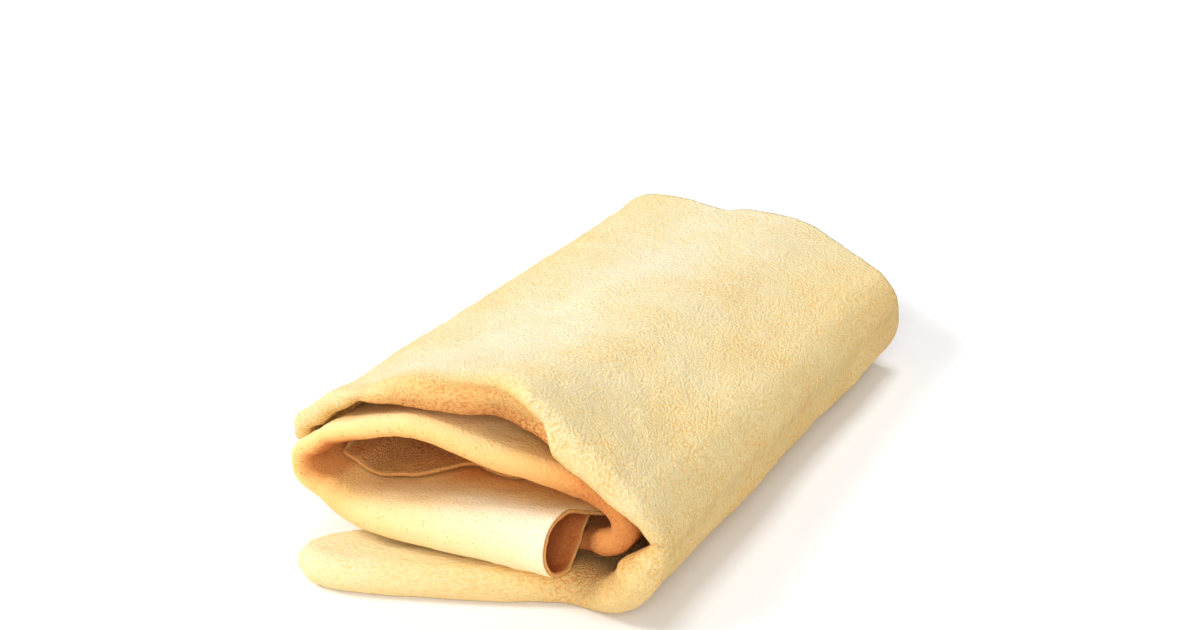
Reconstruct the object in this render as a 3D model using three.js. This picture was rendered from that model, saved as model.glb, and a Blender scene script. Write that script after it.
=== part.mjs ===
import * as THREE from 'three';

// A chamois leather folded into a packet, in millimetres: +X to the right, +Y to the back, +Z up.
// The hide is doubled once, with the doubling fold at the front, and the doubled hide is then laid
// in turns from the inner end: inner panel, middle panel, lower panel, base, and the top flap over all.

const hideThickness = 2.0;
const leafGap = 3.0;
const layerClearance = 0.3;
const cutGap = 0.3;
const floorFlat = 0.5;

const leafOffset = (hideThickness + leafGap) / 2;
const layerHalf = leafOffset + hideThickness / 2;
const layerPitch = 2 * layerHalf + layerClearance;

// Heights of the two layers that lie on the floor.
const baseHeight = layerHalf - floorFlat;
const lowerHeight = baseHeight + layerPitch;

// Turns of the doubled hide seen from the front: centre x and z, radius of the layer's middle line,
// and the sense of the turn, +1 to the left of the way and -1 to the right of it. The crown has its top.
const leftTurn = { x: -122, z: 45.5, radius: 19.5 };
const middleCrown = { x: -88, top: 75, radius: 55.5 };
const hookTurn = { x: -20.5, z: 38.8, radius: 13.5 };
const lowerTuck = { x: -33, z: 19.5 };
const lowerTurn = { x: -112 };
const rightFold = { x: -22, radius: 28.5 };
const topShoulder = { x: -66, z: 65, radius: 22 };
const innerEnd = { x: -34, z: 38 };
const topSlack = 0.8;

// The same turns at the back, where the layers lie closer together.
const leftTurnBack = { x: -134, z: 24.5, radius: 6.5 };
const middleCrownBack = { x: -88, top: 32.5, radius: 61 };
const hookTurnBack = { x: -30, z: 20.5, radius: 9.5 };
const lowerTuckBack = { x: -42, z: 10.7 };
const lowerTurnBack = { x: -129 };
const rightFoldBack = { x: -18, radius: 19.5 };
const topShoulderBack = { x: -58, z: 23, radius: 26 };
const innerEndBack = { x: -30, z: 19 };
const topSlackBack = 11;

const baseTip = { x: -98, xBack: -116 };
const looseEndHeading = THREE.MathUtils.degToRad(258);
const looseEndTail = 6;

// How fast the section changes from front to back, how far a folded lip swells behind the edge, in radii
// of the lip, and how firmly it ends there; the top flap and the base are the fuller ones.
const sectionEase = 1.3;
const lipReach = 2.5;
const topLipReach = 5.5;
const baseLipReach = 3.7;
const curlReach = 1.2;
const lipFirmness = 2;
const baseLipFirmness = 3.4;

// The front left corner of the base leans out to the left, from its back to its tip.
const cornerBack = -5;
const cornerFront = -54;
const cornerLean = -27;

// Stations along the doubled hide, from the inner end to the loose end: y of the folded front edge,
// radius of its lip, side to which the lip bulges, y of the cut edges at the back, and the steps of the
// stretch that follows; also the lip's reach and firmness where they aren't as usual, and the corner's lean.
const backEdge = 222;
const stations = [
  { front: -14, lip: 12, side: 1, back: backEdge, steps: 6, reach: curlReach },
  { front: -35, lip: 6, side: 0.4, back: backEdge, steps: 9 },
  { front: -38, lip: 3.2, side: -1, back: backEdge, steps: 2 },
  { front: -33, lip: 3.4, side: -1, back: backEdge, steps: 5 },
  { front: -23, lip: 5, side: -1, back: backEdge, steps: 4 },
  { front: -2, lip: 5, side: -1, back: backEdge, steps: 9 },
  { front: -3, lip: 4.5, side: -1, back: backEdge, steps: 4 },
  { front: 3.5, lip: 3, side: -0.5, back: backEdge, steps: 4 },
  { front: -3, lip: leafOffset, side: 0, back: backEdge, steps: 6 },
  { front: cornerBack, lip: leafOffset, side: 1, back: backEdge, steps: 6, corner: cornerLean },
  {
    front: cornerFront,
    lip: 7.5,
    side: 1,
    back: backEdge,
    steps: 6,
    reach: baseLipReach,
    firmness: baseLipFirmness,
    corner: cornerLean,
  },
  { front: -8, lip: 6.5, side: 1, back: backEdge, steps: 9 },
  { front: -4.5, lip: 4.8, side: -0.8, back: 236, steps: 4, reach: topLipReach },
  { front: -8, lip: 6.5, side: -1, back: 246, steps: 4, reach: topLipReach },
  { front: -18, lip: 6.8, side: -1, back: 247, steps: 1, reach: topLipReach },
  { front: -22, lip: 6, side: -1, back: 246, steps: 4, reach: topLipReach },
  { front: -30, lip: 5, side: -1, back: 239, steps: 2, reach: topLipReach },
  { front: -30, lip: 4, side: -1, back: 236, steps: 5, reach: topLipReach },
  { front: -27, lip: 3.5, side: -1, back: 228, steps: 1, reach: topLipReach },
  { front: -26, lip: 3.5, side: -1, back: 226, steps: 0, reach: topLipReach },
];

// The loose leaf in the pocket, by shares along the stretch it lies on and by depths behind the front
// edge: the tongue lies on the inner panel, and its side stands against the left turn.
const tongueRoot = 62;
const tongueTip = 17;
const tongue = { from: 0.985, to: 0.45, edgeFrom: tongueTip, edgeTo: 58, rounding: 1.6, steps: 8 };
const tongueSide = { from: 0.015, to: 0.62, edgeFrom: tongueTip, edgeTo: 30, rounding: 4, steps: 7 };
const tongueDepthSteps = 4;
const pocketClearance = 0.6;

const depthSteps = 7;
const depthGrowth = 1.5;
const lipSteps = 6;

const sheetColour = 0xf0cf95;
const napRoughness = 0.95;

// The way of one section: straight stretches that run on to the turns like a belt over rollers.
function beltPath(start, turns, endHeading, tail) {
  const rollers = [{ x: start.x, z: start.z, radius: 0, sense: 1 }, ...turns];
  const headings = [];
  for (let i = 0; i + 1 < rollers.length; i++) {
    const here = rollers[i];
    const next = rollers[i + 1];
    const dx = next.x - here.x;
    const dz = next.z - here.z;
    const lean = (next.sense * next.radius - here.sense * here.radius) / Math.hypot(dx, dz);
    headings.push(Math.atan2(dz, dx) - Math.asin(lean));
  }
  headings.push(endHeading);

  const onRoller = (roller, heading) => ({
    x: roller.x + roller.sense * roller.radius * Math.sin(heading),
    z: roller.z - roller.sense * roller.radius * Math.cos(heading),
    heading,
  });

  const stretches = [];
  headings.forEach((heading, i) => {
    const from = onRoller(rollers[i], heading);
    const next = rollers[i + 1];
    const to = next
      ? onRoller(next, heading)
      : { x: from.x + tail * Math.cos(heading), z: from.z + tail * Math.sin(heading) };
    stretches.push((u) => ({
      x: from.x + (to.x - from.x) * u,
      z: from.z + (to.z - from.z) * u,
      heading,
    }));
    if (!next || next.radius === 0) {
      return;
    }
    const fullTurn = 2 * Math.PI;
    const sweep = ((next.sense * (headings[i + 1] - heading)) % fullTurn + fullTurn) % fullTurn;
    stretches.push((u) => onRoller(next, heading + next.sense * sweep * u));
  });
  return stretches;
}

const rightTurn = (turn) => ({ ...turn, sense: -1 });
const leftwardTurn = (turn) => ({ ...turn, sense: 1 });

function hidePath(section) {
  const lowerRadius = (lowerHeight - baseHeight) / 2;
  const outside = layerPitch + section.slack;
  const crown = { ...section.crown, z: section.crown.top - section.crown.radius };
  return beltPath(
    section.start,
    [
      rightTurn(section.left),
      rightTurn(crown),
      rightTurn(section.hook),
      leftwardTurn({ ...section.tuck, radius: 0 }),
      leftwardTurn({ x: section.lower.x, z: baseHeight + lowerRadius, radius: lowerRadius }),
      leftwardTurn({ x: section.tip, z: baseHeight, radius: 0 }),
      leftwardTurn({ ...section.fold, z: baseHeight + section.fold.radius }),
      leftwardTurn(section.shoulder),
      leftwardTurn({ ...crown, radius: crown.radius + outside }),
      leftwardTurn({ ...section.left, radius: section.left.radius + outside }),
    ],
    looseEndHeading,
    looseEndTail,
  );
}

const frontPath = hidePath({
  start: innerEnd,
  left: leftTurn,
  crown: middleCrown,
  hook: hookTurn,
  tuck: lowerTuck,
  lower: lowerTurn,
  tip: baseTip.x,
  fold: rightFold,
  shoulder: topShoulder,
  slack: topSlack,
});

const backPath = hidePath({
  start: innerEndBack,
  left: leftTurnBack,
  crown: middleCrownBack,
  hook: hookTurnBack,
  tuck: lowerTuckBack,
  lower: lowerTurnBack,
  tip: baseTip.xBack,
  fold: rightFoldBack,
  shoulder: topShoulderBack,
  slack: topSlackBack,
});

const smooth = (u) => u * u * (3 - 2 * u);
const smoothSlope = (u) => 6 * u * (1 - u);
const mix = (a, b, u) => a + (b - a) * u;

function depthShares() {
  const shares = [0];
  let step = 1;
  for (let i = 0; i < depthSteps; i++) {
    shares.push(shares[i] + step);
    step *= depthGrowth;
  }
  return shares.map((share) => share / shares[depthSteps]);
}

// One point of the doubled hide's middle surface: stretch and place along it, share of the depth from
// the front edge to the back, and the offset across the layer in lip radii (-1 one leaf, +1 the other).
function hidePoint(stretch, u, depthShare, across, forward) {
  const here = stations[stretch];
  const next = stations[stretch + 1];
  const ease = smooth(u);
  const front = mix(here.front, next.front, ease);
  const lip = mix(here.lip, next.lip, ease);
  const side = mix(here.side, next.side, ease);
  const corner = mix(here.corner ?? 0, next.corner ?? 0, ease);
  const depth = (mix(here.back, next.back, ease) - front) * depthShare;

  const share = (1 - depthShare) ** sectionEase;
  const atFront = frontPath[stretch](u);
  const atBack = backPath[stretch](u);
  const heading = mix(atBack.heading, atFront.heading, share);
  const reach = mix(here.reach ?? lipReach, next.reach ?? lipReach, ease);
  const firmness = mix(here.firmness ?? lipFirmness, next.firmness ?? lipFirmness, ease);
  const swell = Math.exp(-((depth / (reach * lip)) ** firmness));
  const halfOpen = mix(leafOffset, lip, swell);
  const offset = halfOpen * across + side * (lip - leafOffset) * swell;

  // The lip is square to the front edge, which runs askew where neighbouring stations differ.
  const small = 1e-3;
  const before = frontPath[stretch](u - small);
  const after = frontPath[stretch](u + small);
  const way = Math.hypot(after.x - before.x, after.z - before.z) / (2 * small);
  const skew = Math.atan2((next.front - here.front) * smoothSlope(u), way);
  const along = lip * forward * Math.sin(skew);
  const y = front + depth - lip * forward * Math.cos(skew);
  const cornerShare = THREE.MathUtils.clamp((cornerBack - y) / (cornerBack - cornerFront), 0, 1);
  const cornerRun = corner * smooth(cornerShare);
  return new THREE.Vector3(
    mix(atBack.x, atFront.x, share) - Math.sin(heading) * offset + Math.cos(heading) * along + cornerRun,
    y,
    mix(atBack.z, atFront.z, share) + Math.cos(heading) * offset + Math.sin(heading) * along,
  );
}

// A line across the hide from one cut edge over the front lip to the other cut edge.
function acrossHide(stretch, u) {
  const shares = depthShares();
  const line = [];
  for (let i = depthSteps; i >= 0; i--) {
    line.push(hidePoint(stretch, u, shares[i], -1, 0));
  }
  for (let i = 1; i < lipSteps; i++) {
    const angle = Math.PI * (i / lipSteps - 0.5);
    line.push(hidePoint(stretch, u, 0, Math.sin(angle), Math.cos(angle)));
  }
  for (let i = 0; i <= depthSteps; i++) {
    line.push(hidePoint(stretch, u, shares[i], 1, 0));
  }
  return line;
}

// The whole hide as lines across it, and the number of the line at which each station stands.
function layHide() {
  const lines = [];
  const stationLine = [];
  for (let stretch = 0; stretch + 1 < stations.length; stretch++) {
    stationLine.push(lines.length);
    const steps = stations[stretch].steps;
    for (let i = 0; i < steps; i++) {
      lines.push(acrossHide(stretch, i / steps));
    }
  }
  stationLine.push(lines.length);
  lines.push(acrossHide(stations.length - 2, 1));
  return { lines, stationLine };
}

function gridNormals(lines) {
  const last = lines.length - 1;
  return lines.map((line, i) => line.map((point, j) => {
    const along = new THREE.Vector3();
    along.subVectors(lines[Math.min(i + 1, last)][j], lines[Math.max(i - 1, 0)][j]);
    const over = new THREE.Vector3();
    over.subVectors(line[Math.min(j + 1, line.length - 1)], line[Math.max(j - 1, 0)]);
    return over.cross(along).normalize();
  }));
}

// A closed sheet of the hide's thickness about a grid of middle points.
function thickSheet(middle, normals) {
  const rows = middle.length;
  const columns = middle[0].length;
  const positions = [];
  for (const face of [0.5, -0.5]) {
    middle.forEach((line, i) => line.forEach((point, j) => {
      const skin = point.clone().addScaledVector(normals[i][j], face * hideThickness);
      positions.push(skin.x, skin.y, Math.max(skin.z, 0));
    }));
  }

  const triangles = [];
  const quad = (a, b, c, d) => triangles.push(a, b, c, a, c, d);
  const upper = (i, j) => i * columns + j;
  const under = (i, j) => rows * columns + upper(i, j);
  for (let i = 0; i + 1 < rows; i++) {
    for (let j = 0; j + 1 < columns; j++) {
      quad(upper(i, j), upper(i, j + 1), upper(i + 1, j + 1), upper(i + 1, j));
      quad(under(i, j), under(i + 1, j), under(i + 1, j + 1), under(i, j + 1));
    }
    quad(upper(i, 0), upper(i + 1, 0), under(i + 1, 0), under(i, 0));
    quad(upper(i, columns - 1), under(i, columns - 1), under(i + 1, columns - 1), upper(i + 1, columns - 1));
  }
  for (let j = 0; j + 1 < columns; j++) {
    quad(upper(0, j), under(0, j), under(0, j + 1), upper(0, j + 1));
    quad(upper(rows - 1, j), upper(rows - 1, j + 1), under(rows - 1, j + 1), under(rows - 1, j));
  }

  const geometry = new THREE.BufferGeometry();
  geometry.setAttribute('position', new THREE.Float32BufferAttribute(positions, 3));
  geometry.setIndex(triangles);
  return geometry;
}

const hide = layHide();
const hideNormals = gridNormals(hide.lines);

// A panel of the hide between two stations, drawn back from its neighbours by half the cut gap.
function panelGeometry(fromStation, toStation) {
  const first = hide.stationLine[fromStation];
  const last = hide.stationLine[toStation];
  const middle = hide.lines.slice(first, last + 1).map((line) => line.map((point) => point.clone()));
  const drawBack = (edge, inner) => edge.forEach((point, j) => {
    const inward = new THREE.Vector3().subVectors(inner[j], point);
    point.addScaledVector(inward.normalize(), cutGap / 2);
  });
  drawBack(middle[0], middle[1]);
  drawBack(middle[middle.length - 1], middle[middle.length - 2]);
  return thickSheet(middle, hideNormals.slice(first, last + 1));
}

// A leaf that lies on the inner face of a stretch of the hide.
function leafGeometry(stretch, leaf) {
  const middle = [];
  for (let i = 0; i <= leaf.steps; i++) {
    const share = i / leaf.steps;
    const u = mix(leaf.from, leaf.to, share);
    const front = mix(stations[stretch].front, stations[stretch + 1].front, smooth(u));
    const edge = mix(leaf.edgeFrom, leaf.edgeTo, share ** leaf.rounding);
    const line = [];
    for (let j = 0; j <= tongueDepthSteps; j++) {
      const depth = mix(tongueRoot, edge, j / tongueDepthSteps);
      line.push(hidePoint(stretch, u, depth / (backEdge - front), -1, 0));
    }
    middle.push(line);
  }
  const inward = leaf.to > leaf.from ? -1 : 1;
  const normals = gridNormals(middle);
  const raise = inward * (hideThickness + pocketClearance);
  middle.forEach((line, i) => line.forEach((point, j) => point.addScaledVector(normals[i][j], raise)));
  if (inward < 0) {
    middle.reverse();
  }
  return thickSheet(middle, gridNormals(middle));
}

const packet = new THREE.Group();
packet.name = 'chamois_leather';

function addPiece(name, geometry, shade) {
  const colour = new THREE.Color(sheetColour).multiplyScalar(shade);
  const material = new THREE.MeshStandardMaterial({ color: colour, roughness: napRoughness, metalness: 0 });
  const mesh = new THREE.Mesh(geometry, material);
  mesh.name = name;
  packet.add(mesh);
}

addPiece('inner_panel', panelGeometry(0, 1), 1);
addPiece('inner_left_fold', panelGeometry(1, 2), 0.94);
addPiece('middle_panel', panelGeometry(2, 5), 0.98);
addPiece('hook_fold', panelGeometry(5, 6), 0.9);
addPiece('lower_panel', panelGeometry(6, 8), 0.9);
addPiece('lower_left_fold', panelGeometry(8, 9), 0.92);
addPiece('base_panel', panelGeometry(9, 11), 0.98);
addPiece('right_fold', panelGeometry(11, 12), 0.96);
addPiece('top_panel', panelGeometry(12, 16), 1);
addPiece('loose_end', panelGeometry(16, 19), 0.98);
addPiece('pocket_side', leafGeometry(1, tongueSide), 0.7);
addPiece('pocket_tongue', leafGeometry(0, tongue), 0.7);

// The packet stands on the floor with its footprint centred on the origin.
const footprint = new THREE.Box3().setFromObject(packet);
const middleOfPacket = footprint.getCenter(new THREE.Vector3());
packet.children.forEach((mesh) => mesh.geometry.translate(-middleOfPacket.x, -middleOfPacket.y, 0));

export default packet;
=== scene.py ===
import math

import bpy
import numpy as np
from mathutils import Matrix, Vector


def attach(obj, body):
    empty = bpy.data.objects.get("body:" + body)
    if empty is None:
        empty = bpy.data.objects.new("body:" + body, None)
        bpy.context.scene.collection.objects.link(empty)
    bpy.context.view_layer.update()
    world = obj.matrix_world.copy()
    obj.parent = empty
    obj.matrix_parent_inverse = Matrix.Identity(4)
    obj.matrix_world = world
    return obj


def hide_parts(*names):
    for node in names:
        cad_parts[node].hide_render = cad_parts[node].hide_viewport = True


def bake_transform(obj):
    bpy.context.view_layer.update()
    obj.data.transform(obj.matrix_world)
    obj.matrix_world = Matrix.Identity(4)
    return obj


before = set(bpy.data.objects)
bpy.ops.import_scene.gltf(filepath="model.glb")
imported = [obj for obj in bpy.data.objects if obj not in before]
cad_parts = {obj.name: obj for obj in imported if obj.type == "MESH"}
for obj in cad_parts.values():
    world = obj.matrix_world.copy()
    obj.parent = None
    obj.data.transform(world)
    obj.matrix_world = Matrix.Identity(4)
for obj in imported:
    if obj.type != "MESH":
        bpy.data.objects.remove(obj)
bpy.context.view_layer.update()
bpy.ops.object.select_all(action="DESELECT")
scene = bpy.context.scene
scene.view_settings.view_transform = "Standard"


# The folded hide, in millimetres: where its turns lie, seen from the front, at the lips and at the back
hide = {
    "thick": 2.0,
    "leafOffset": 2.5,       # from the middle of a doubled layer to each leaf
    "pitch": 7.3,            # from one doubled layer to the next
    "baseHeight": 3.0,
    "place": (74.927, -92.299),
    "sectionEase": 1.3,
    "cornerBack": -5.0,
    "cornerFront": -54.0,
    "endHeading": math.radians(258),
    "endTail": 6.0,
    "backRun": 3.5,          # how uneven the cut edges at the back are
    "backRunSize": 34.0,
}
frontTurns = {
    "start": (-34, 38),
    "left": (-122, 45.5, 19.5),
    "crown": (-88, 19.5, 55.5),
    "hook": (-20.5, 40, 12.5),
    "tuck": (-33, 19.5),
    "lower": -112,
    "tip": -98,
    "fold": (-22, 28.5),
    "shoulder": (-66, 65, 22),
    "slack": 0.8,
}
backTurns = {
    "start": (-30, 19),
    "left": (-134, 24.5, 6.5),
    "crown": (-88, -28.5, 61),
    "hook": (-30, 20.5, 9.5),
    "tuck": (-42, 10.7),
    "lower": -129,
    "tip": -116,
    "fold": (-18, 19.5),
    "shoulder": (-58, 23, 26),
    "slack": 11,
}
# Places along the hide, as stretch and share of it, with the front edge, lip radius, side it bulges to,
# back edge, swell behind the lip and how firm it is, lean of the corner, and the tones of the upper or
# outer leaf, of the other leaf and of the lip between. The tones are partly the hide's own colour and
# partly painted light and shade: paler on the lit top flap, darker on the lip faces, the right fold, the
# hook and inside the left turn, where shade falls
stations = np.array([
    (0, -14, 12, 1, 222, 1.2, 2, 0, 0.82, 0.56, 0.70),         # curled inner end
    (1, -35, 6, 0.4, 222, 2.5, 2, 0, 0.42, 0.56, 0.38),        # left turn
    # the low tone inside the left turn here is painted shade
    (2, -38, 3.2, -1, 222, 2.5, 2, 0, -0.30, 0.56, 0.24),
    (3, -33, 3.4, -1, 222, 2.5, 2, 0, 0.00, 0.54, 0.32),       # middle panel
    (4, -23, 5, -1, 222, 2.5, 2, 0, 0.12, 0.48, 0.30),
    # the low tones from here to the lower panel's first row are painted shade in and under the hook
    (5, -2, 5, -1, 222, 2.5, 2, 0, 0.0, -0.02, -0.08),          # hook
    (6, -3, 4.5, -1, 222, 2.5, 2, 0, 0.00, -0.10, -0.06),
    (7, 3.5, 3, -0.5, 222, 2.5, 2, 0, 0.00, -0.08, -0.05),        # lower panel
    (8, -3, 2.5, 0, 222, 2.5, 2, 0, 0.40, 0.40, 0.36),
    (9, -5, 2.5, 1, 222, 2.5, 2, -27, 0.56, 0.66, 0.60),       # base
    (10, -54, 7.5, 1, 222, 3.7, 3.4, -27, 0.50, 0.70, 0.62),
    (11, -8, 6.5, 1, 222, 2.5, 2, 0, 0.44, 0.34, 0.42),        # right fold
    (11.3, -9, 7.5, 1, 224, 2.2, 2, 0, 0.46, 0.34, 0.44),
    (11.5, -9, 8, 1, 226, 1.8, 2, 0, 0.48, 0.34, 0.46),
    (11.6, -7, 6, 0.9, 227, 2, 2, 0, 0.50, 0.34, 0.48),
    (11.7, -3, 2.8, 0, 229, 3, 2, 0, 0.52, 0.34, 0.50),
    (11.8, -5, 3.4, -0.4, 231, 4, 2, 0, 0.56, 0.34, 0.54),
    (12, -7.5, 4.8, -0.8, 236, 5.5, 2, 0, 0.62, 0.34, 0.56),   # top flap
    (12.7, -8.5, 6.0, -1, 243, 5.5, 2, 0, 0.66, 0.30, 0.56),
    # from here to the loose end, the low tones of the lower leaf and the lip are painted shade on the
    # lip's face
    (13.3, -14, 6.5, -0.8, 246, 5.5, 2, 0, 0.70, 0.02, 0.20),
    (14, -20.5, 6.6, -0.75, 247, 5.5, 2, 0, 0.74, 0.0, 0.16),
    (14.5, -23.5, 6.2, -0.8, 247, 5.5, 2, 0, 0.77, 0.02, 0.18),
    (15, -26, 5.6, -1, 246, 5.5, 2, 0, 0.79, 0.05, 0.22),
    (16, -30, 4.6, -1, 239, 5.5, 2, 0, 0.78, 0.15, 0.32),      # loose end
    (17, -30, 3.4, -1, 236, 5.5, 2, 0, 0.70, 0.30, 0.50),
    (18, -27, 2.8, -1, 228, 5.5, 2, 0, 0.56, 0.36, 0.50),
    (19, -26, 2.7, -1, 226, 5.5, 2, 0, 0.56, 0.36, 0.50),
], float)


def beltWay(start, turns, endHeading, tail):
    # straight runs that touch each turn like a belt over rollers
    rollers = [(start[0], start[1], 0, 1)] + turns
    headings = []
    for a, b in zip(rollers[:-1], rollers[1:]):
        dx, dz = b[0] - a[0], b[1] - a[1]
        lean = (b[3] * b[2] - a[3] * a[2]) / math.hypot(dx, dz)
        headings.append(math.atan2(dz, dx) - math.asin(lean))
    headings.append(endHeading)

    def touch(roller, heading):
        reach = roller[3] * roller[2]
        return roller[0] + reach * math.sin(heading), roller[1] - reach * math.cos(heading)

    stretches = []
    turned = headings[0]
    for i, heading in enumerate(headings):
        p = touch(rollers[i], heading)
        if i + 1 == len(rollers):
            q = (p[0] + tail * math.cos(heading), p[1] + tail * math.sin(heading))
            stretches.append(("run", p, q, turned))
            break
        nextRoller = rollers[i + 1]
        stretches.append(("run", p, touch(nextRoller, heading), turned))
        change = headings[i + 1] - heading
        if nextRoller[2] == 0:
            turned += (change + math.pi) % (2 * math.pi) - math.pi
            continue
        sweep = (nextRoller[3] * change) % (2 * math.pi)
        stretches.append(("turn", nextRoller, turned, sweep))
        turned += nextRoller[3] * sweep
    return stretches


def hideWay(turns):
    low = hide["baseHeight"]
    half = hide["pitch"] / 2
    outside = hide["pitch"] + turns["slack"]
    left, crown, hook = turns["left"], turns["crown"], turns["hook"]
    fold, shoulder = turns["fold"], turns["shoulder"]
    return beltWay(turns["start"], [
        (*left, -1),
        (*crown, -1),
        (*hook, -1),
        (*turns["tuck"], 0, 1),
        (turns["lower"], low + half, half, 1),
        (turns["tip"], low, 0, 1),
        (fold[0], low + fold[1], fold[1], 1),
        (*shoulder, 1),
        (crown[0], crown[1], crown[2] + outside, 1),
        (left[0], left[1], left[2] + outside, 1),
    ], hide["endHeading"], hide["endTail"])


def wayMarks(way):
    marks = [0.0]
    for stretch in way:
        if stretch[0] == "run":
            length = math.dist(stretch[1], stretch[2])
        else:
            length = stretch[1][2] * stretch[3]
        marks.append(marks[-1] + length)
    return np.array(marks)


def wayAt(way, marks, s):
    # x, z and heading at distances along a way
    k = np.clip(np.searchsorted(marks, s, side="right") - 1, 0, len(way) - 1)
    x, z, heading = np.zeros_like(s), np.zeros_like(s), np.zeros_like(s)
    for i, stretch in enumerate(way):
        here = k == i
        u = (s[here] - marks[i]) / (marks[i + 1] - marks[i])
        if stretch[0] == "run":
            p, q = stretch[1], stretch[2]
            x[here], z[here] = p[0] + (q[0] - p[0]) * u, p[1] + (q[1] - p[1]) * u
            heading[here] = stretch[3]
        else:
            roller = stretch[1]
            h = stretch[2] + roller[3] * stretch[3] * u
            x[here] = roller[0] + roller[3] * roller[2] * np.sin(h)
            z[here] = roller[1] - roller[3] * roller[2] * np.cos(h)
            heading[here] = h
    return x, z, heading


def steadyCurve(knots, values, at):
    # a smooth curve through the knots that doesn't overshoot them, and its slope
    knots, values = np.asarray(knots, float), np.asarray(values, float)
    gap = np.diff(knots)
    rise = np.diff(values) / gap
    slope = np.zeros_like(values)
    before, after = 2 * gap[1:] + gap[:-1], gap[1:] + 2 * gap[:-1]
    same = rise[:-1] * rise[1:] > 0
    safe = np.where(same, rise[:-1], 1), np.where(same, rise[1:], 1)
    slope[1:-1] = np.where(same, (before + after) / (before / safe[0] + after / safe[1]), 0)
    k = np.clip(np.searchsorted(knots, at, side="right") - 1, 0, len(gap) - 1)
    t, g = np.clip((at - knots[k]) / gap[k], 0, 1), gap[k]
    a, b, ma, mb = values[k], values[k + 1], slope[k], slope[k + 1]
    value = (2 * t**3 - 3 * t**2 + 1) * a + (3 * t**2 - 2 * t**3) * b
    value += g * ((t**3 - 2 * t**2 + t) * ma + (t**3 - t**2) * mb)
    grade = 6 * (t - t**2) * (b - a) / g + (3 * t**2 - 4 * t + 1) * ma + (3 * t**2 - 2 * t) * mb
    return value, grade


frontWay, backWay = hideWay(frontTurns), hideWay(backTurns)
frontMarks, backMarks = wayMarks(frontWay), wayMarks(backWay)
backPlaces = backMarks.copy()
topRowShift = (-3, 8, 4, 7, -5)            # evens out the rows on the top flap
backPlaces[13:18] += topRowShift


def markAt(stretch, u):
    return frontMarks[stretch] + (frontMarks[stretch + 1] - frontMarks[stretch]) * u


stationMarks = np.interp(stations[:, 0], np.arange(len(frontMarks)), frontMarks)


def alongHide(column, s):
    return steadyCurve(stationMarks, stations[:, column], s)


def softNoise(x, y, size, seed):
    # smooth noise on the flat hide, -1 to 1
    table = np.random.default_rng(seed).uniform(-1, 1, (256, 256))
    px, py = x / size + 97.3, y / size + 31.7
    ix, iy = np.floor(px).astype(int), np.floor(py).astype(int)
    fx, fy = px - ix, py - iy
    fx, fy = fx**3 * (fx * (6 * fx - 15) + 10), fy**3 * (fy * (6 * fy - 15) + 10)
    at = lambda a, b: table[a % 256, b % 256]
    top = at(ix, iy) * (1 - fx) + at(ix + 1, iy) * fx
    low = at(ix, iy + 1) * (1 - fx) + at(ix + 1, iy + 1) * fx
    return top * (1 - fy) + low * fy


def easeStep(low, high, value):
    t = np.clip((value - low) / (high - low), 0, 1)
    return t * t * (3 - 2 * t)


def bump(value, centre, width):
    return np.exp(-((value - centre) / width) ** 2)


# The notch under the top flap's lip, where it is drawn up
notch = {"at": markAt(15, 0.9) + 6, "lift": 4.5, "width": 10.0, "reach": 26.0}
# The left turn is flatter below, pointed at its middle and low at the shoulder, and the loose end
# follows it. The knots are places along the hide, as in the stations, and the push there
leftShape = {
    "knots": ((0.9, 0), (1.25, -3.5), (1.48, 3.5), (1.58, 2.8), (1.78, -3), (1.9, -3.5), (2, -2),
              (2.5, -1), (3, -1), (3.4, 0), (15.4, 0), (16, 1), (16.6, 1), (17, 1.5), (17.3, 3.5),
              (17.55, 3.5), (17.8, 0.5), (18, -2), (19, -2)),
    "reach": 60.0,
}
# A flap of the curled end runs on to the right
curlFlap = {"run": 16.0, "from": 7.0, "to": 15.0, "fade": 34.0}


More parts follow.
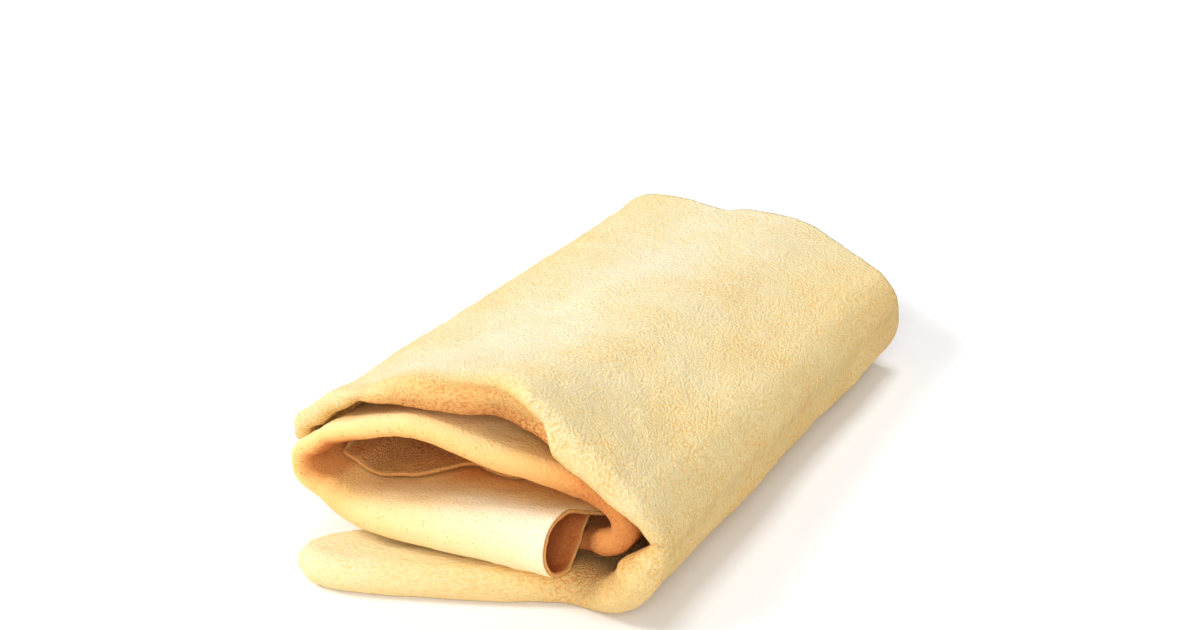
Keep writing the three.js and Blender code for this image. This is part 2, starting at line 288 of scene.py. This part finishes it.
def hideGrid(s, share, across, forward):
    # rows at distances along the hide; the columns run from one back edge over the lip to the other
    s = np.asarray(s, float)[:, None]
    roughDepth = (stations[0, 4] - alongHide(1, s)[0]) * share
    flap = curlFlap["run"] * easeStep(curlFlap["from"], curlFlap["to"], roughDepth) * (across < 0)
    s = s - flap * easeStep(curlFlap["fade"], 0, s)
    front, skewSlope = alongHide(1, s)
    lip, side, back, reach, firm, corner = [alongHide(column, s)[0] for column in range(2, 8)]
    toneA, toneB, toneLip = [alongHide(column, s)[0] for column in range(8, 11)]
    skew = np.arctan(skewSlope)
    run = hide["backRunSize"]
    uneven = np.where(across < 0, softNoise(s, 0 * s, run, 31), softNoise(s, 0 * s, run, 32))
    depth = (back + hide["backRun"] * uneven - front) * share
    mixBack = 1 - (1 - share) ** hide["sectionEase"]
    xf, zf, hf = wayAt(frontWay, frontMarks, s)
    onBack = steadyCurve(frontMarks, backPlaces, s)[0] + np.minimum(s, 0)
    xb, zb, hb = wayAt(backWay, backMarks, onBack)
    heading = hf + (hb - hf) * mixBack
    swell = np.exp(-((depth / (reach * lip)) ** firm))
    leaf = hide["leafOffset"]
    offset = (leaf + (lip - leaf) * swell) * across + side * (lip - leaf) * swell
    drawn = notch["lift"] * bump(s, notch["at"], notch["width"]) * bump(depth, 0, notch["reach"])
    offset = offset - drawn * (across + 1) / 2
    knots = np.array(leftShape["knots"])
    shapeMarks = np.interp(knots[:, 0], np.arange(len(frontMarks)), frontMarks)
    offset = offset + steadyCurve(shapeMarks, knots[:, 1], s)[0] * bump(depth, 0, leftShape["reach"])
    slide = lip * forward * np.sin(skew)
    y = front + depth - lip * forward * np.cos(skew)
    leanShare = easeStep(0, 1, (hide["cornerBack"] - y) / (hide["cornerBack"] - hide["cornerFront"]))
    x = xf + (xb - xf) * mixBack - np.sin(heading) * offset + np.cos(heading) * slide
    x = x + corner * leanShare
    z = zf + (zb - zf) * mixBack + np.cos(heading) * offset + np.sin(heading) * slide
    flat = np.stack([s + (onBack - s) * mixBack, lip * np.arcsin(across) + np.sign(across) * depth], -1)
    tone = toneLip + (np.where(across < 0, toneA, toneB) - toneLip) * np.abs(across)
    return np.stack([x, y, z], -1), flat, tone


def gridNormals(grid):
    # these point to the inside of the doubled layer
    normal = np.cross(np.gradient(grid, axis=1), np.gradient(grid, axis=0))
    return normal / np.maximum(np.linalg.norm(normal, axis=2, keepdims=True), 1e-9)


def layColumns(step, growth, lipSteps, otherGrowth):
    # shares of the depth: even or growing steps on either leaf, and the turn of the lip between
    def shares(rate):
        found, gap = [0.0], step
        while found[-1] < 1:
            found.append(found[-1] + gap)
            gap *= rate
        return np.array(found) / found[-1]
    upper, under = shares(growth), shares(otherGrowth)
    angle = np.pi * (np.arange(1, lipSteps) / lipSteps - 0.5)
    share = np.concatenate([upper[::-1], 0 * angle, under])
    across = np.concatenate([-np.ones(len(upper)), np.sin(angle), np.ones(len(under))])
    forward = np.concatenate([0 * upper, np.cos(angle), 0 * under])
    return share, across, forward


# Softness that the plain folds lack: slack swells and small lumps, and the pleat in the top flap's lip
relief = {
    "swell": 1.5, "innerSwell": 0.5, "swellSize": 58.0,
    "topFrom": -15.0, "topTo": 25.0, "lipFade": (4, -6),
    "lump": 0.40, "lumpSize": 13.0,
    "nub": 0.20, "nubSize": 4.0,
}
pleat = {
    "at": frontMarks[13] - 10, "closeRows": (45, 25),
    "ridge": ((-40, 17), (-16, 5), (-9.9, 0), (-6.9, -6), (-4, -14), (9.9, -25), (30, -35)),
    "raise": 1.4, "sink": 3.6, "raiseRun": 24.0, "sinkRun": 26.0, "shade": 0.26,
    "sharp": 1.5, "soft": 7.0, "reach": 11.0, "push": 2.4, "pushRun": 12.0,
    # ranges over the lip, by distance behind the front edge, minus on the upper leaf
    "softer": (-8, -22), "fade": -10, "underFade": (14, 8), "sinkFade": (7, -1), "pushFade": (4, -4),
}
# Darker by tone: the face of the top flap's lip, and the pocket's floor under the middle panel
faceShade = {
    "knots": ((12.8, 0), (13.2, 0.20), (14, 0.44), (15, 0.44), (16, 0.34), (17, 0.14), (18, 0)),
    "run": 14.0, "ease": -8.0,
}
pocketShade = {"drop": 0.58, "from": 24.0, "to": 50.0, "sooner": 9.0, "soonerRun": (60.0, 10.0)}


def soften(grid, flat, tone):
    outside = -gridNormals(grid)
    s, v = flat[..., 0], flat[..., 1]
    rightFold = frontMarks[11]
    onTop = easeStep(rightFold + relief["topFrom"], rightFold + relief["topTo"], s)
    onTop = onTop * easeStep(*relief["lipFade"], v)
    swell = relief["innerSwell"] + (relief["swell"] - relief["innerSwell"]) * onTop
    lift = swell * softNoise(s, v, relief["swellSize"], 3)
    lift += relief["lump"] * softNoise(s, v, relief["lumpSize"], 5)
    lift += relief["nub"] * softNoise(s, v, relief["nubSize"], 7)
    knots = np.array(pleat["ridge"], float)
    ridge = frontMarks[13] + steadyCurve(knots[:, 0], knots[:, 1], v)[0]
    width = pleat["sharp"] + (pleat["soft"] - pleat["sharp"]) * easeStep(*pleat["softer"], v)
    past = s - ridge
    stepShare = 0.5 + 0.5 * np.tanh(past / width)
    near = np.exp(-(np.maximum(pleat["fade"] - v, 0) / pleat["reach"]) ** 2)
    near = near * easeStep(*pleat["underFade"], v)
    over = (1 - stepShare) * np.exp(-(np.minimum(past, 0) / pleat["raiseRun"]) ** 2)
    under = stepShare * np.exp(-(np.maximum(past, 0) / pleat["sinkRun"]) ** 2)
    lift += near * (pleat["raise"] * over - pleat["sink"] * under * easeStep(*pleat["sinkFade"], v))
    along = np.gradient(grid, axis=0)
    along /= np.maximum(np.linalg.norm(along, axis=2, keepdims=True), 1e-9)
    push = pleat["push"] * near * over * np.exp(-(past / pleat["pushRun"]) ** 2)
    push = push * easeStep(*pleat["pushFade"], v)
    tone = tone - pleat["shade"] * near * under
    knots = np.array(faceShade["knots"])
    shadeMarks = np.interp(knots[:, 0], np.arange(len(frontMarks)), frontMarks)
    face = bump(v, 0, faceShade["run"]) * easeStep(0, faceShade["ease"], v)
    tone = tone - steadyCurve(shadeMarks, knots[:, 1], s)[0] * face
    deep = -v + pocketShade["sooner"] * easeStep(*pocketShade["soonerRun"], s)
    shaded = easeStep(pocketShade["from"], pocketShade["to"], deep) * (s < frontMarks[2])
    tone = tone - pocketShade["drop"] * shaded
    return grid + outside * lift[..., None] + along * push[..., None], tone


# The nap stands up more on the base and the top flap than on the inner layers
napStand = {"inner": 0.30, "outer": 1.0, "before": 20.0}


def napRise(s):
    grown = easeStep(frontMarks[9] - napStand["before"], frontMarks[11], s)
    return napStand["inner"] + (napStand["outer"] - napStand["inner"]) * grown


# The rounded rim of a sheet, as height and reach in rows, its fray, and how its grain is set apart
sheetRim = {
    "rows": ((0.6, 0.45), (0.0, 0.7), (-0.6, 0.45)), "fray": 0.3, "fraySize": 1.7,
    "innerLayer": 40.0, "rimLayer": 80.0,
}


def sheetObject(name, grid, normal, flat, tone, insideTone, rimSeen):
    # two skins, and a rim all round; rimSeen names the sides that are cut edges
    half = hide["thick"] / 2
    n, m = grid.shape[:2]
    loop = [(i, 0) for i in range(n)] + [(n - 1, j) for j in range(1, m)]
    loop += [(i, m - 1) for i in range(n - 2, -1, -1)] + [(0, j) for j in range(m - 2, 0, -1)]
    side = ["left"] * n + ["end"] * (m - 1) + ["right"] * (n - 1) + ["start"] * (m - 2)
    li = np.array([p[0] for p in loop])
    lj = np.array([p[1] for p in loop])
    rimGrid, rimNormal, rimFlat = grid[li, lj], normal[li, lj], flat[li, lj]
    outward = rimGrid - grid[np.clip(li, 1, n - 2), np.clip(lj, 1, m - 2)]
    outward /= np.maximum(np.linalg.norm(outward, axis=1, keepdims=True), 1e-9)
    cut = np.array([1.0 if edge in rimSeen else 0.0 for edge in side])
    count, size = n * m, len(loop)

    rimRows = sheetRim["rows"]
    fray = softNoise(rimFlat[:, 0], rimFlat[:, 1], sheetRim["fraySize"], 11) * sheetRim["fray"]
    points = [(grid + normal * half).reshape(-1, 3), (grid - normal * half).reshape(-1, 3)]
    facing = [normal.reshape(-1, 3).copy(), -normal.reshape(-1, 3)]
    index = np.arange(count).reshape(n, m)
    rimIndex = index[li, lj]
    facing[0][rimIndex] += outward * cut[:, None]
    facing[1][rimIndex] += outward * cut[:, None]
    for height, out in rimRows:
        points.append(rimGrid + rimNormal * half * height + outward * (cut * (out + fray))[:, None])
        facing.append(outward + rimNormal * height)
    points, facing = np.concatenate(points), np.concatenate(facing)
    facing /= np.linalg.norm(facing, axis=1, keepdims=True)
    points[:, :2] += hide["place"]
    points[:, 2] = np.maximum(points[:, 2], 0.0)

    a, b, c, d = index[:-1, :-1], index[:-1, 1:], index[1:, 1:], index[1:, :-1]
    skin = np.stack([a, b, c, d], -1).reshape(-1, 4)
    rings = [rimIndex] + [2 * count + r * size + np.arange(size) for r in range(len(rimRows))]
    rings.append(count + rimIndex)
    rim = [np.stack([p, np.roll(p, -1), np.roll(q, -1), q], -1) for p, q in zip(rings[:-1], rings[1:])]
    faces = np.concatenate([skin, skin[:, ::-1] + count] + rim)

    mesh = bpy.data.meshes.new(name)
    mesh.from_pydata((points / 1000).tolist(), [], faces.tolist())
    mesh.polygons.foreach_set("use_smooth", np.ones(len(faces), bool))
    cutFace = np.zeros(len(faces), int)
    cutFace[2 * len(skin):] = np.tile(np.minimum(cut, np.roll(cut, -1)) > 0, len(rim))
    mesh.polygons.foreach_set("material_index", cutFace)
    place = np.concatenate([flat.reshape(-1, 2)] * 2 + [rimFlat] * len(rimRows))
    layer = [np.zeros(count), np.full(count, sheetRim["innerLayer"])]
    layer += [np.full(size, sheetRim["rimLayer"] + r) for r in range(len(rimRows))]
    flatPlace = np.column_stack([place, np.concatenate(layer)]) / 1000
    flatAttr = mesh.attributes.new("flatPlace", "FLOAT_VECTOR", "POINT")
    flatAttr.data.foreach_set("vector", flatPlace.astype(np.float32).ravel())
    riseAttr = mesh.attributes.new("napRise", "FLOAT", "POINT")
    riseAttr.data.foreach_set("value", napRise(place[:, 0]).astype(np.float32))
    # the tone per point: the hide's own colour with painted light and shade
    toneAttr = mesh.attributes.new("toneAndPaintedShade", "FLOAT", "POINT")
    hidden = tone.ravel() if insideTone is None else np.full(count, insideTone)
    allTones = [hidden, tone.ravel()]
    allTones += [tone[li, lj]] * len(rimRows)
    toneAttr.data.foreach_set("value", np.concatenate(allTones).astype(np.float32))
    mesh.update()
    mesh.normals_split_custom_set_from_vertices(facing.tolist())
    piece = bpy.data.objects.new(name, mesh)
    scene.collection.objects.link(piece)
    area = sum(p.area for p in mesh.polygons) / 2
    print(name, "triangles", 2 * len(faces), "half area m2", round(area, 4))
    return piece


def layRows(first, last, step, finer):
    # distances from one station to another, closer at the pleat, with one more beyond either end
    a, b = frontMarks[first], frontMarks[last]
    rows = [a]
    while rows[-1] < b:
        close = easeStep(*pleat["closeRows"], abs(rows[-1] - pleat["at"]))
        rows.append(rows[-1] + step + (finer - step) * close)
    rows = a + (np.array(rows) - a) * (b - a) / (rows[-1] - a)
    return np.concatenate([[2 * a - rows[1]], rows, [2 * b - rows[-2]]])


def makePiece(name, first, last, step, finer, columns, insideTone, rimSeen):
    grid, flat, tone = hideGrid(layRows(first, last, step, finer), *columns)
    grid, tone = soften(grid, flat, tone)
    normal = gridNormals(grid)
    grid, normal, flat, tone = [v[1:-1] for v in (grid, normal, flat, tone)]
    return sheetObject(name, grid, normal, flat, tone, insideTone, rimSeen)


# this dark inside tone is painted shade in the hollow of the curl
curlHollowShade = -0.13           # tone inside the doubled inner layers, seen in the curl
fineColumns = layColumns(0.0062, 1.0, 22, 1.10)
rollColumns = layColumns(0.0050, 1.04, 18, 1.04)
innerRoll = makePiece("innerRoll", 0, 11, 1.8, 1.8, rollColumns, curlHollowShade, ("left", "right", "start"))
outerFlap = makePiece("outerFlap", 11, 16, 1.4, 0.6, fineColumns, None, ("left", "right"))
looseEnd = makePiece("looseEnd", 16, 19, 1.2, 1.2, fineColumns, None, ("left", "right", "end"))


# The loose corner in the pocket: its rim by distance along the hide and depth behind the front edge
tongue = {
    "rim": ((32, 24), (36, 24.5), (41, 26.5), (47, 29.5), (52, 32), (56, 32.5), (61.1, 28), (68.9, 21),
            (77.5, 18), (86.1, 15), (98.7, 14), (107, 15.5), (116, 20), (124, 27)),
    "root": 62, "taper": (54, 32, 32), "raise": 2.6, "curl": 1.2, "curlPower": 6,
    "wave": 0.7, "waveSize": 8.0, "edgeWaveSize": 6.0, "tone": 0.22, "rimTone": 0.10, "rimPower": 4,
    "rows": 90, "columns": 48, "grainShift": 1000,
}


def makeTongue():
    knots = np.array(tongue["rim"], float)
    n, m = tongue["rows"], tongue["columns"]
    s = np.linspace(knots[0, 0], knots[-1, 0], n)
    edge = steadyCurve(knots[:, 0], knots[:, 1], s)[0]
    edge += tongue["wave"] * softNoise(s, 0 * s, tongue["edgeWaveSize"], 41)
    grid, flat = np.zeros((n, m, 3)), np.zeros((n, m, 2))
    front = alongHide(1, s)[0]
    toRim = np.linspace(0, 1, m)
    wide, narrow, cut = tongue["taper"]
    root = tongue["root"] - cut * easeStep(wide, narrow, s)
    for i in range(n):
        depth = root[i] + (edge[i] - root[i]) * toRim
        share = depth / (stations[0, 4] - front[i])
        line, _, _ = hideGrid(s[i:i + 1], share, -np.ones(m), np.zeros(m))
        grid[i] = line[0]
        flat[i, :, 0], flat[i, :, 1] = tongue["grainShift"] + s[i], depth
    lift = tongue["raise"] + tongue["curl"] * toRim ** tongue["curlPower"] + 0 * flat[..., 0]
    lift += 0.5 * tongue["wave"] * (1 + softNoise(flat[..., 0], flat[..., 1], tongue["waveSize"], 21))
    grid = grid - gridNormals(grid) * lift[..., None]
    tone = tongue["tone"] + tongue["rimTone"] * toRim ** tongue["rimPower"] + 0 * flat[..., 0]
    cutSides = ("right", "start", "end")
    return sheetObject("pocketTongue", grid, gridNormals(grid), flat, tone, None, cutSides)


pocketTongue = makeTongue()
print("sheets made")


# Suede nap: small tufts and fine grain, patches where they stand up more, and sparse pores. The grooves
# between tufts are darker: partly the nap's own colour, partly painted shade
napFinish = {
    "strokeScale": 950.0, "grainScale": 2200.0, "bumpDepth": 0.0015, "bumpStrength": 1.0,
    "grooveTintAndShade": 0.24, "mottle": 0.20, "lift": 0.17, "pore": 0.34, "roughness": 0.95, "gloss": 0.10,
    "tones": ((0.0, (0.51, 0.145, 0.036)), (0.25, (0.84, 0.39, 0.115)), (0.5, (0.94, 0.61, 0.22)),
              (0.75, (0.97, 0.76, 0.38)), (1.0, (0.98, 0.89, 0.65))),
}
# What the cut edges share with it: how tufts sway, are shaped and mixed with grain, and where pores lie
napPattern = {
    "swayScale": 70.0, "sway": (0.002, 0.002, 0), "stretch": (0.9, 1.0, 1.0), "tuftFall": 0.95,
    "grainRoughness": 0.6, "grainShare": 0.4, "groove": (0.52, 0.28),
    "patchScale": 34.0, "patchRoughness": 0.55, "patch": (0.40, 0.60), "patchLow": 0.55,
    "poreScale": 430.0, "pore": (0.19, 0.10),
}
cutFinish = {
    "strokeScale": 900.0, "grainScale": 2600.0, "bumpDepth": 0.0008, "bumpStrength": 0.8,
    "dark": (0.84, 0.35, 0.09), "pale": (0.97, 0.58, 0.20), "roughness": 1.0, "gloss": 0.1,
}


def makeNapGroup():
    group = bpy.data.node_groups.new("napGrain", "ShaderNodeTree")
    face = group.interface
    face.new_socket("Place", in_out="INPUT", socket_type="NodeSocketVector")
    for name in ("StrokeScale", "GrainScale"):
        face.new_socket(name, in_out="INPUT", socket_type="NodeSocketFloat")
    for name in ("Height", "Groove", "Patch", "Pore"):
        face.new_socket(name, in_out="OUTPUT", socket_type="NodeSocketFloat")
    nodes, links = group.nodes, group.links
    gin, gout = nodes.new("NodeGroupInput"), nodes.new("NodeGroupOutput")
    sway = nodes.new("ShaderNodeTexNoise")
    sway.inputs["Scale"].default_value = napPattern["swayScale"]
    sway.inputs["Detail"].default_value = 2.0
    links.new(gin.outputs["Place"], sway.inputs["Vector"])
    bend = nodes.new("ShaderNodeVectorMath")
    bend.operation = "MULTIPLY_ADD"
    bend.inputs[1].default_value = napPattern["sway"]
    links.new(sway.outputs["Color"], bend.inputs[0])
    links.new(gin.outputs["Place"], bend.inputs[2])
    stretch = nodes.new("ShaderNodeMapping")
    stretch.inputs["Scale"].default_value = napPattern["stretch"]
    links.new(bend.outputs["Vector"], stretch.inputs["Vector"])
    stroke = nodes.new("ShaderNodeTexVoronoi")
    links.new(stretch.outputs["Vector"], stroke.inputs["Vector"])
    links.new(gin.outputs["StrokeScale"], stroke.inputs["Scale"])
    tuft = nodes.new("ShaderNodeMapRange")
    tuft.inputs["From Min"].default_value = napPattern["tuftFall"]
    tuft.inputs["From Max"].default_value = 0.0
    links.new(stroke.outputs["Distance"], tuft.inputs["Value"])
    grain = nodes.new("ShaderNodeTexNoise")
    grain.inputs["Detail"].default_value = 2.0
    grain.inputs["Roughness"].default_value = napPattern["grainRoughness"]
    links.new(gin.outputs["Place"], grain.inputs["Vector"])
    links.new(gin.outputs["GrainScale"], grain.inputs["Scale"])
    join = nodes.new("ShaderNodeMix")
    join.inputs["Factor"].default_value = napPattern["grainShare"]
    links.new(tuft.outputs["Result"], join.inputs["A"])
    links.new(grain.outputs["Fac"], join.inputs["B"])
    links.new(join.outputs["Result"], gout.inputs["Height"])
    patch = nodes.new("ShaderNodeTexNoise")
    patch.inputs["Scale"].default_value = napPattern["patchScale"]
    patch.inputs["Detail"].default_value = 4.0
    patch.inputs["Roughness"].default_value = napPattern["patchRoughness"]
    links.new(gin.outputs["Place"], patch.inputs["Vector"])
    links.new(patch.outputs["Fac"], gout.inputs["Patch"])
    standing = nodes.new("ShaderNodeMapRange")
    standing.inputs["From Min"].default_value = napPattern["patch"][0]
    standing.inputs["From Max"].default_value = napPattern["patch"][1]
    standing.inputs["To Min"].default_value = napPattern["patchLow"]
    links.new(patch.outputs["Fac"], standing.inputs["Value"])
    groove = nodes.new("ShaderNodeMapRange")
    groove.inputs["From Min"].default_value = napPattern["groove"][0]
    groove.inputs["From Max"].default_value = napPattern["groove"][1]
    links.new(join.outputs["Result"], groove.inputs["Value"])
    cut = nodes.new("ShaderNodeMath")
    cut.operation = "MULTIPLY"
    links.new(groove.outputs["Result"], cut.inputs[0])
    links.new(standing.outputs["Result"], cut.inputs[1])
    links.new(cut.outputs["Value"], gout.inputs["Groove"])
    pores = nodes.new("ShaderNodeTexVoronoi")
    pores.inputs["Scale"].default_value = napPattern["poreScale"]
    links.new(gin.outputs["Place"], pores.inputs["Vector"])
    pore = nodes.new("ShaderNodeMapRange")
    pore.inputs["From Min"].default_value = napPattern["pore"][0]
    pore.inputs["From Max"].default_value = napPattern["pore"][1]
    links.new(pores.outputs["Distance"], pore.inputs["Value"])
    links.new(pore.outputs["Result"], gout.inputs["Pore"])
    return group


napGroup = makeNapGroup()


def makeNapMaterial():
    mat = bpy.data.materials.new("chamoisNap")
    mat.use_nodes = True
    nodes, links = mat.node_tree.nodes, mat.node_tree.links
    skin = nodes["Principled BSDF"]
    skin.inputs["Roughness"].default_value = napFinish["roughness"]
    skin.inputs["Specular IOR Level"].default_value = napFinish["gloss"]
    place = nodes.new("ShaderNodeAttribute")
    place.attribute_name = "flatPlace"
    # tone per point, the hide's own colour with painted light and shade
    pale = nodes.new("ShaderNodeAttribute")
    pale.attribute_name = "toneAndPaintedShade"
    rise = nodes.new("ShaderNodeAttribute")
    rise.attribute_name = "napRise"
    grain = nodes.new("ShaderNodeGroup")
    grain.node_tree = napGroup
    grain.inputs["StrokeScale"].default_value = napFinish["strokeScale"]
    grain.inputs["GrainScale"].default_value = napFinish["grainScale"]
    links.new(place.outputs["Vector"], grain.inputs["Place"])
    deep = nodes.new("ShaderNodeMath")
    deep.operation = "MULTIPLY"
    links.new(grain.outputs["Groove"], deep.inputs[0])
    links.new(rise.outputs["Fac"], deep.inputs[1])
    # grooves between tufts darkened: partly the nap's own colour, partly painted shade
    grooveTintAndShade = nodes.new("ShaderNodeMath")
    grooveTintAndShade.operation = "MULTIPLY_ADD"
    grooveTintAndShade.inputs[1].default_value = -napFinish["grooveTintAndShade"]
    links.new(deep.outputs["Value"], grooveTintAndShade.inputs[0])
    links.new(pale.outputs["Fac"], grooveTintAndShade.inputs[2])
    mottle = nodes.new("ShaderNodeMath")
    mottle.operation = "MULTIPLY_ADD"
    mottle.inputs[1].default_value = -napFinish["mottle"]
    links.new(grain.outputs["Patch"], mottle.inputs[0])
    links.new(grooveTintAndShade.outputs["Value"], mottle.inputs[2])
    level = nodes.new("ShaderNodeMath")
    level.operation = "ADD"
    level.inputs[1].default_value = 0.5 * napFinish["mottle"] + napFinish["lift"]
    links.new(mottle.outputs["Value"], level.inputs[0])
    ramp = nodes.new("ShaderNodeValToRGB")
    stops = ramp.color_ramp.elements
    for at, colour in napFinish["tones"][1:-1]:
        stops.new(at)
    for stop, (at, colour) in zip(stops, napFinish["tones"]):
        stop.position = at
        stop.color = (*colour, 1)
    smooth = nodes.new("ShaderNodeMapRange")
    smooth.inputs["From Min"].default_value = napStand["inner"]
    smooth.inputs["To Min"].default_value = -napFinish["pore"]
    smooth.inputs["To Max"].default_value = 0.0
    links.new(rise.outputs["Fac"], smooth.inputs["Value"])
    pitted = nodes.new("ShaderNodeMath")
    pitted.operation = "MULTIPLY_ADD"
    links.new(smooth.outputs["Result"], pitted.inputs[1])
    links.new(grain.outputs["Pore"], pitted.inputs[0])
    links.new(level.outputs["Value"], pitted.inputs[2])
    links.new(pitted.outputs["Value"], ramp.inputs["Fac"])
    links.new(ramp.outputs["Color"], skin.inputs["Base Color"])
    standing = nodes.new("ShaderNodeMath")
    standing.operation = "MULTIPLY"
    links.new(grain.outputs["Height"], standing.inputs[0])
    links.new(rise.outputs["Fac"], standing.inputs[1])
    raised = nodes.new("ShaderNodeBump")
    raised.inputs["Strength"].default_value = napFinish["bumpStrength"]
    raised.inputs["Distance"].default_value = napFinish["bumpDepth"]
    links.new(standing.outputs["Value"], raised.inputs["Height"])
    links.new(raised.outputs["Normal"], skin.inputs["Normal"])
    return mat


def makeCutMaterial():
    mat = bpy.data.materials.new("cutEdge")
    mat.use_nodes = True
    nodes, links = mat.node_tree.nodes, mat.node_tree.links
    skin = nodes["Principled BSDF"]
    skin.inputs["Roughness"].default_value = cutFinish["roughness"]
    skin.inputs["Specular IOR Level"].default_value = cutFinish["gloss"]
    place = nodes.new("ShaderNodeAttribute")
    place.attribute_name = "flatPlace"
    grain = nodes.new("ShaderNodeGroup")
    grain.node_tree = napGroup
    grain.inputs["StrokeScale"].default_value = cutFinish["strokeScale"]
    grain.inputs["GrainScale"].default_value = cutFinish["grainScale"]
    links.new(place.outputs["Vector"], grain.inputs["Place"])
    ramp = nodes.new("ShaderNodeValToRGB")
    ramp.color_ramp.elements[0].color = (*cutFinish["dark"], 1)
    ramp.color_ramp.elements[1].color = (*cutFinish["pale"], 1)
    links.new(grain.outputs["Height"], ramp.inputs["Fac"])
    links.new(ramp.outputs["Color"], skin.inputs["Base Color"])
    raised = nodes.new("ShaderNodeBump")
    raised.inputs["Strength"].default_value = cutFinish["bumpStrength"]
    raised.inputs["Distance"].default_value = cutFinish["bumpDepth"]
    links.new(grain.outputs["Height"], raised.inputs["Height"])
    links.new(raised.outputs["Normal"], skin.inputs["Normal"])
    return mat


napMaterial, cutMaterial = makeNapMaterial(), makeCutMaterial()
for piece in (innerRoll, outerFlap, looseEnd, pocketTongue):
    piece.data.materials.append(napMaterial)
    piece.data.materials.append(cutMaterial)
print("materials made")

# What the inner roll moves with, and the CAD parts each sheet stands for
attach(innerRoll, "base")
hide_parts("inner_panel", "inner_left_fold", "middle_panel", "hook_fold",
            "lower_panel", "lower_left_fold", "base_panel")
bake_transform(outerFlap)
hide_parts("right_fold", "top_panel")
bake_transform(looseEnd)
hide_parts("loose_end")
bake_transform(pocketTongue)
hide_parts("pocket_side", "pocket_tongue")

# Floor, light and camera
stage = {
    "floorSize": 6.0, "floorColour": 0.95, "floorGlow": 0.45, "glowFrom": 0.25, "glowTo": 0.90,
    "world": 0.36,
    "lamps": (
        ("softbox", 10.5, 0.45, (-0.75, -0.65, 0.95)),
        ("topLight", 7.4, 0.4, (-0.10, 0.45, 1.25)),
        ("frontFill", 9.5, 0.8, (0.62, -1.05, 0.85)),
    ),
}
view = {"place": (0.35113, -0.56480, 0.4530), "aim": (-0.464, 0.731, -0.500), "sensor": 36, "lens": 52.5}


def makeStage():
    bpy.ops.mesh.primitive_plane_add(size=stage["floorSize"], location=(0, 0, 0))
    floor = bpy.context.active_object
    floor.name = "floor"
    mat = bpy.data.materials.new("paleFloor")
    mat.use_nodes = True
    nodes, links = mat.node_tree.nodes, mat.node_tree.links
    skin = nodes["Principled BSDF"]
    c = stage["floorColour"]
    skin.inputs["Base Color"].default_value = (c, c, c, 1)
    skin.inputs["Roughness"].default_value = 1.0
    skin.inputs["Specular IOR Level"].default_value = 0.0
    skin.inputs["Emission Color"].default_value = (1, 1, 1, 1)
    path = nodes.new("ShaderNodeLightPath")
    place = nodes.new("ShaderNodeTexCoord")
    far = nodes.new("ShaderNodeVectorMath")
    far.operation = "LENGTH"
    links.new(place.outputs["Object"], far.inputs[0])
    glow = nodes.new("ShaderNodeMapRange")
    glow.inputs["From Min"].default_value = stage["glowFrom"]
    glow.inputs["From Max"].default_value = stage["glowTo"]
    glow.inputs["To Max"].default_value = stage["floorGlow"]
    links.new(far.outputs["Value"], glow.inputs["Value"])
    rays = path.outputs["Is Camera Ray"]
    for mirrored in ("Is Glossy Ray", "Is Transmission Ray"):
        either = nodes.new("ShaderNodeMath")
        either.operation = "MAXIMUM"
        links.new(rays, either.inputs[0])
        links.new(path.outputs[mirrored], either.inputs[1])
        rays = either.outputs["Value"]
    seen = nodes.new("ShaderNodeMath")
    seen.operation = "MULTIPLY"
    links.new(rays, seen.inputs[0])
    links.new(glow.outputs["Result"], seen.inputs[1])
    links.new(seen.outputs["Value"], skin.inputs["Emission Strength"])
    floor.data.materials.append(mat)
    world = bpy.data.worlds.new("studio")
    world.use_nodes = True
    scene.world = world
    world.node_tree.nodes["Background"].inputs["Strength"].default_value = stage["world"]
    world.node_tree.nodes["Background"].inputs["Color"].default_value = (1, 1, 1, 1)
    for name, energy, size, spot in stage["lamps"]:
        lamp = bpy.data.lights.new(name, "AREA")
        lamp.energy = energy
        lamp.size = size
        lampObject = bpy.data.objects.new(name, lamp)
        lampObject.location = spot
        lampObject.rotation_euler = (-lampObject.location).to_track_quat("-Z", "Y").to_euler()
        scene.collection.objects.link(lampObject)


def makeCamera():
    cam = bpy.data.cameras.new("camera")
    cam.sensor_width = view["sensor"]
    cam.lens = view["lens"]
    camObject = bpy.data.objects.new("camera", cam)
    camObject.location = view["place"]
    camObject.rotation_euler = Vector(view["aim"]).to_track_quat("-Z", "Y").to_euler()
    scene.collection.objects.link(camObject)
    scene.camera = camObject


makeStage()
makeCamera()
print("stage made")
